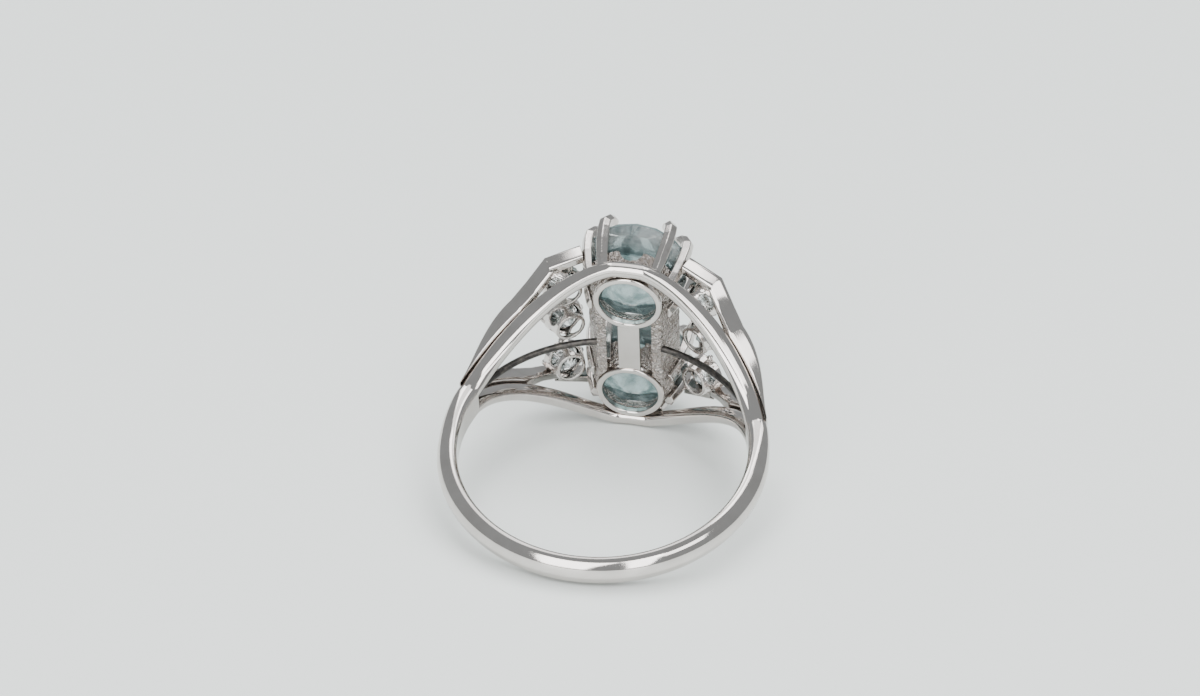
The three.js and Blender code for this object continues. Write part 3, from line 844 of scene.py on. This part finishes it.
def bar_stations(plan):
    """Stations of the upper right shoulder bar, from its root to the head end of its box."""
    bar, band, head = plan.bar, plan.band, plan.head
    foot = plan.bar_foot

    def on_rail(s):
        angle = mix(band.fork_angle, bar.knee_angle, s)
        thickness = mix(bar.root_thickness, bar.thickness, smooth(s))
        z = plan.rail_z(angle) - bar.knee_inset * s
        width = plan.slant_width(angle, mix(band.rail_width, bar.width, s))
        return radial_station(angle, foot, foot + thickness, z, width)

    knee = outward(bar.knee_angle) * (foot + bar.thickness)
    knee.z = plan.rail_z(bar.knee_angle) - bar.knee_inset
    fold = Vector((plan.fold_x, band.finger_radius + bar.fold_rise, plan.fold_z))
    end = Vector((
        head.stone_radius + bar.end_clear, band.finger_radius + bar.end_rise, plan.fold_z + bar.splay))

    def facing(start, finish):
        run = finish - start
        run.z = 0.0
        return run.normalized().cross(ALONG_FINGER)

    lower, upper = facing(knee, fold), facing(fold, end)

    def box_station(top, out, depth):
        return Station(top - out * (depth / 2), ALONG_FINGER, out, bar.box_width, depth)

    fold_out = (lower + upper).normalized()
    on_bar = spread(40, on_rail)
    box_start = box_station(knee.lerp(fold, 0.45), lower, bar.box_thickness)
    folded = box_station(fold, fold_out, bar.box_thickness / lower.dot(fold_out))
    box_end = box_station(end, upper, bar.box_thickness)
    before = box_station(fold.lerp(knee, CREASE), lower, bar.box_thickness)
    after = box_station(fold.lerp(end, CREASE), upper, bar.box_thickness)
    turning = spread(6, lambda s: between(on_bar[-1], box_start, s))[1:]
    return (on_bar + turning + [between(box_start, before, 0.5), before, folded, after]
            + soft_end(box_end, after, BOX_EDGE))


class RING_OT_bars(Operator):
    """Make the four shoulder bars that end in folded boxes"""
    bl_idname = "ring.bars"
    bl_label = "Shoulder bars"

    def execute(self, context):
        plan = Plan(context.scene)
        for row, side in ROWS.items():
            for hand, sign in HANDS.items():
                builder = loft(bar_stations(plan), even_section(0.2, 0.25))
                builder.transform(Matrix.Diagonal((sign, 1.0, side, 1.0)))
                add_piece(f"bar_{row}_{hand}", builder, "polished_metal",
                          (f"shoulder_bar_{row}_{hand}",), plan)
        return {"FINISHED"}


class RING_OT_wires(Operator):
    """Make the two dark wires inside the forks"""
    bl_idname = "ring.wires"
    bl_label = "Mid wires"

    def execute(self, context):
        plan = Plan(context.scene)
        band = plan.band
        middle = band.finger_radius + band.wire_rise
        inside, outside = middle - band.wire_diameter / 2, middle + band.wire_diameter / 2
        head_angle = math.asin((plan.ring_outer - plan.head.plate_inset) / middle)
        for hand, sign in HANDS.items():
            builder = loft(spread(60, lambda s, sign=sign: radial_station(
                sign * mix(band.fork_angle, head_angle, s), inside, outside, 0.0,
                band.wire_diameter)), round_section())
            add_piece(f"wire_{hand}", builder, "dark_wire", (f"mid_wire_{hand}",), plan)
        return {"FINISHED"}


class RING_OT_base_rings(Operator):
    """Make the base rings under the aquamarines, and the strut between them"""
    bl_idname = "ring.base_rings"
    bl_label = "Base rings and strut"

    def execute(self, context):
        plan = Plan(context.scene)
        head = plan.head
        low, high = plan.base_foot, plan.base_foot + head.ring_height
        bore, outer = head.ring_bore, plan.ring_outer
        edge = head.ring_wall * 0.32
        for row, side in ROWS.items():
            outline = rounded([
                (corner, (edge, edge))
                for corner in ((bore, low), (outer, low), (outer, high), (bore, high))])
            builder = turned_ring(outline)
            builder.transform(Matrix.Translation((0.0, 0.0, side * plan.stone_z)))
            add_piece(f"ring_{row}", builder, "polished_metal",
                      (f"base_ring_{row}",), plan)
        sunk = 0.06 * MM
        centre_y = plan.base_foot + sunk + head.strut_thickness / 2
        reach = plan.stone_z - head.ring_bore - head.ring_wall / 2
        stations = spread(2, lambda s: Station(
            Vector((0.0, centre_y, mix(-reach, reach, s))), Vector((1.0, 0.0, 0.0)),
            Vector((0.0, 1.0, 0.0)), head.strut_width, head.strut_thickness - 2 * sunk))
        add_piece("strut", loft(stations, even_section(0.1, 0.1)), "polished_metal",
                  ("centre_strut",), plan)
        return {"FINISHED"}


# For each kind of cast piece: its cells and its lumps in millimetres, with the passes that soften
# its edges between them, and its finish.
CAST_PIECES = {
    "basket": (0.04, 6, 0.03, "cast_metal"),
    "side_plate": (0.04, 6, 0.04, "cast_metal"),
    "claw": (0.03, 12, 0.002, "claw_metal"),
    "collet": (0.03, 8, 0.012, "claw_metal"),
}


class RING_OT_settings(Operator):
    """Make the cast baskets, side plates, claws and collets"""
    bl_idname = "ring.settings"
    bl_label = "Cast settings"

    def execute(self, context):
        for node in sorted(frame["nodes"]):
            for kind, (grain, softness, roughness, finish) in CAST_PIECES.items():
                if node.startswith(kind):
                    shape = fused_copy(node, grain, softness, roughness)
                    stand_in(f"cast_{node}", shape, finish, (node,))
        return {"FINISHED"}


class RING_OT_stones(Operator):
    """Cut the aquamarines and the side diamonds"""
    bl_idname = "ring.stones"
    bl_label = "Stones"

    def execute(self, context):
        plan = Plan(context.scene)
        head = plan.head
        for row, side in ROWS.items():
            builder = brilliant(head.stone_radius, plan.full_cut)
            builder.transform(Matrix.Translation((0.0, plan.girdle_y, side * plan.stone_z)))
            add_piece(f"cut_aquamarine_{row}", builder, ("aquamarine", "aquamarine_girdle"),
                      (f"aquamarine_{row}",), plan, smooth_faces=False)
        for row, side in THREE_ROWS.items():
            for hand, sign in HANDS.items():
                builder = brilliant(head.diamond_radius, plan.bright_cut)
                builder.transform(plan.place_diamond(sign, side))
                add_piece(f"cut_diamond_{row}_{hand}", builder, ("diamond", "diamond_girdle"),
                          (f"diamond_{row}_{hand}",), plan, smooth_faces=False)
        return {"FINISHED"}


# Soft boxes round the ring. The angles are in degrees, the sizes in metres and the power in watts.
# A lamp that isn't mirrored lights the table and stays out of the metal's reflections.
Lamp = namedtuple("Lamp", "name azimuth elevation width height power mirrored")
LAMPS = (
    Lamp("left_window", -14, 34, 0.4, 0.9, 7.0, True),
    Lamp("right_window", 28, 34, 0.2, 0.9, 3.4, True),
    Lamp("right_high", 54, 48, 0.3, 0.3, 1.3, True),
    Lamp("left_strip", -140, 50, 0.14, 0.4, 0.6, True),
    Lamp("right_strip", 148, 63, 0.14, 0.4, 0.6, True),
    Lamp("back_card", -160, 66, 0.5, 0.5, 1.6, True),
    Lamp("ceiling", 150, 72, 0.9, 0.9, 7.5, False),
)
LAMP_DISTANCE = 0.8


def towards(azimuth, elevation):
    """The direction at an azimuth from the front and an elevation above the table."""
    return Vector((math.sin(azimuth) * math.cos(elevation),
                   -math.cos(azimuth) * math.cos(elevation), math.sin(elevation)))


def hang_lamp(lamp, aim):
    data = bpy.data.lights.new(lamp.name, "AREA")
    data.shape = "RECTANGLE"
    data.size, data.size_y = lamp.width, lamp.height
    data.energy = lamp.power
    hung = bpy.data.objects.new(lamp.name, data)
    bpy.context.collection.objects.link(hung)
    away = towards(math.radians(lamp.azimuth), math.radians(lamp.elevation))
    hung.location = aim + away * LAMP_DISTANCE
    hung.rotation_euler = (-away).to_track_quat("-Z", "Y").to_euler()
    hung.visible_glossy = lamp.mirrored


class RING_OT_stage(Operator):
    """Set the table, the lights and the camera"""
    bl_idname = "ring.stage"
    bl_label = "Stage"

    def execute(self, context):
        scene = context.scene
        stage, plan = scene.ring_stage, Plan(scene)
        self.lay_table(stage)
        self.light_studio(scene, stage, plan)
        self.set_camera(scene, stage, plan)
        return {"FINISHED"}

    def lay_table(self, stage):
        builder = bmesh.new()
        bmesh.ops.create_grid(builder, x_segments=24, y_segments=24, size=stage.table_size / 2)
        mesh = bpy.data.meshes.new("table")
        builder.to_mesh(mesh)
        builder.free()
        mesh.materials.append(material("pale_table"))
        table = bpy.data.objects.new("table", mesh)
        table.location.z = cad_box[0].z
        bpy.context.collection.objects.link(table)

    def light_studio(self, scene, stage, plan):
        world = bpy.data.worlds.new("studio")
        world.use_nodes = True
        sky = world.node_tree.nodes["Background"]
        sky.inputs["Color"].default_value = opaque(tuple(stage.sky))
        sky.inputs["Strength"].default_value = stage.sky_strength
        scene.world = world
        for lamp in LAMPS:
            hang_lamp(lamp, plan.centre)

    def set_camera(self, scene, stage, plan):
        turned, height, roll = stage.camera_turn, stage.camera_height, stage.camera_roll
        right = Vector((math.cos(turned), math.sin(turned), 0.0))
        back = towards(turned, height)
        up = back.cross(right)
        tilted_right = right * math.cos(roll) + up * math.sin(roll)
        tilted_up = up * math.cos(roll) - right * math.sin(roll)
        where = plan.centre + back * stage.camera_distance
        aim = plan.centre + tilted_right * stage.aim_right + tilted_up * stage.aim_up
        away = (where - aim).normalized()
        side = tilted_up.cross(away).normalized()
        axes = Matrix((side, away.cross(side), away)).transposed()
        data = bpy.data.cameras.new("camera")
        data.lens = stage.lens
        data.sensor_fit = "HORIZONTAL"
        data.clip_start, data.clip_end = 0.005, 20.0
        camera = bpy.data.objects.new("camera", data)
        camera.matrix_world = Matrix.Translation(where) @ axes.to_4x4()
        bpy.context.collection.objects.link(camera)
        scene.camera = camera


STEPS = (
    RING_OT_finishes, RING_OT_shank, RING_OT_rails, RING_OT_bars, RING_OT_wires,
    RING_OT_base_rings, RING_OT_settings, RING_OT_stones, RING_OT_stage,
)
GROUPS = {
    "ring_band": BandSizes, "ring_bar": BarSizes, "ring_head": HeadSizes, "ring_full_cut": FullCut,
    "ring_bright_cut": BrightCut, "ring_looks": Finishes, "ring_stage": StageSizes,
}


class RING_PT_panel(Panel):
    """Lists the ring's pieces in the order in which they are made"""
    bl_label = "Ring"
    bl_idname = "RING_PT_panel"
    bl_space_type = "VIEW_3D"
    bl_region_type = "UI"
    bl_category = "Ring"

    def draw(self, context):
        for step in STEPS:
            self.layout.operator(step.bl_idname)
        for name, group in GROUPS.items():
            box = self.layout.box()
            values = getattr(context.scene, name)
            for key in group.__annotations__:
                box.prop(values, key)


def register():
    for group in (*GROUPS.values(), *STEPS, RING_PT_panel):
        bpy.utils.register_class(group)
    for name, group in GROUPS.items():
        setattr(bpy.types.Scene, name, PointerProperty(type=group))


def unregister():
    for name in GROUPS:
        delattr(bpy.types.Scene, name)
    for group in reversed((*GROUPS.values(), *STEPS, RING_PT_panel)):
        bpy.utils.unregister_class(group)


def main():
    register()
    bpy.ops.ring.finishes()
    bpy.ops.ring.shank()
    bpy.ops.ring.rails()
    bpy.ops.ring.bars()
    bpy.ops.ring.wires()
    bpy.ops.ring.base_rings()
    bpy.ops.ring.settings()
    bpy.ops.ring.stones()
    bpy.ops.ring.stage()


if __name__ == "__main__":
    main()
